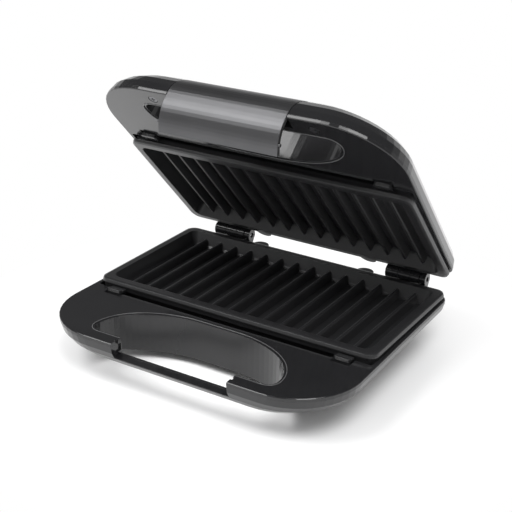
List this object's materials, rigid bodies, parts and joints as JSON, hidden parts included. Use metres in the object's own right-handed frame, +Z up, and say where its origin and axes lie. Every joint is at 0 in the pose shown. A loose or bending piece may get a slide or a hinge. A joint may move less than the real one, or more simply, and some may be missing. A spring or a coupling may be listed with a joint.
{
  "type": "sandwich toaster",
  "caption": "Countertop sandwich toaster with a hinged lid, two ribbed grill plates, a latch panel on the lid's front and a handle opening through both halves.",
  "frame": {"origin": "on the surface the feet stand on, at the middle of the box around the appliance with its lid open as stored", "axes": "+X to the appliance's right seen from its front, +Y from the handle to the hinge, +Z up"},
  "size_m": [0.236, 0.2213, 0.1997],
  "materials": {
    "housing": "gloss",
    "cover": "satin gloss",
    "latch": "satin",
    "clip": "gloss",
    "grill_plate": "non-stick coating, satin",
    "reflector": "bright sheet",
    "heater": "satin",
    "ceramic": "matt",
    "rubber": "matt",
    "screw": "dark zinc",
    "pin": "ground",
    "lens_red": "translucent red",
    "lens_green": "translucent green"
  },
  "bodies": {
    "base": {"base_shell": "housing", "base_rim": "cover", "base_plate": "grill_plate", "base_reflector": "reflector", "base_element": "heater", "base_thermostat": "ceramic", "base_thermal_fuse": "heater", "base_terminal_block": "ceramic", "base_feet": "rubber", "base_screws": "screw", "cord_grommet": "rubber", "hinge_pins": "pin"},
    "lid": {"lid_shell": "housing", "lid_rim": "cover", "lid_plate": "grill_plate", "lid_reflector": "reflector", "lid_element": "heater", "lid_thermal_fuse": "heater", "lid_screws": "screw", "lens_power": "lens_red", "lens_ready": "lens_green", "lamp_carrier": "cover", "latch_pin": "pin"},
    "latch": {"latch_panel": "latch"},
    "base_clip_left": {"base_clip_left": "clip"},
    "base_clip_right": {"base_clip_right": "clip"},
    "lid_clip_left": {"lid_clip_left": "clip"},
    "lid_clip_right": {"lid_clip_right": "clip"}
  },
  "joints": [
    {"name": "lid_hinge", "type": "hinge", "parent": "base", "child": "lid", "pos_m": [0, 0.09251, 0.042], "axis": [-1, 0, 0], "range_deg": [-46.5, 50]},
    {"name": "latch_pivot", "type": "hinge", "parent": "lid", "child": "latch", "pos_m": [0, -0.02726, 0.19509], "axis": [-1, 0, 0], "range_deg": [-3, 4], "stiffness_Nm_per_rad": 0.5},
    {"name": "base_clip_left_slide", "type": "slide", "parent": "base", "child": "base_clip_left", "axis": [0, -1, 0], "range_m": [0, 0.0025], "stiffness_N_per_m": 300, "springref_m": -0.001},
    {"name": "base_clip_right_slide", "type": "slide", "parent": "base", "child": "base_clip_right", "axis": [0, -1, 0], "range_m": [0, 0.0025], "stiffness_N_per_m": 300, "springref_m": -0.001},
    {"name": "lid_clip_left_slide", "type": "slide", "parent": "lid", "child": "lid_clip_left", "axis": [0, -0.6884, 0.7254], "range_m": [0, 0.0025], "stiffness_N_per_m": 300, "springref_m": -0.001},
    {"name": "lid_clip_right_slide", "type": "slide", "parent": "lid", "child": "lid_clip_right", "axis": [0, -0.6884, 0.7254], "range_m": [0, 0.0025], "stiffness_N_per_m": 300, "springref_m": -0.001}
  ]
}
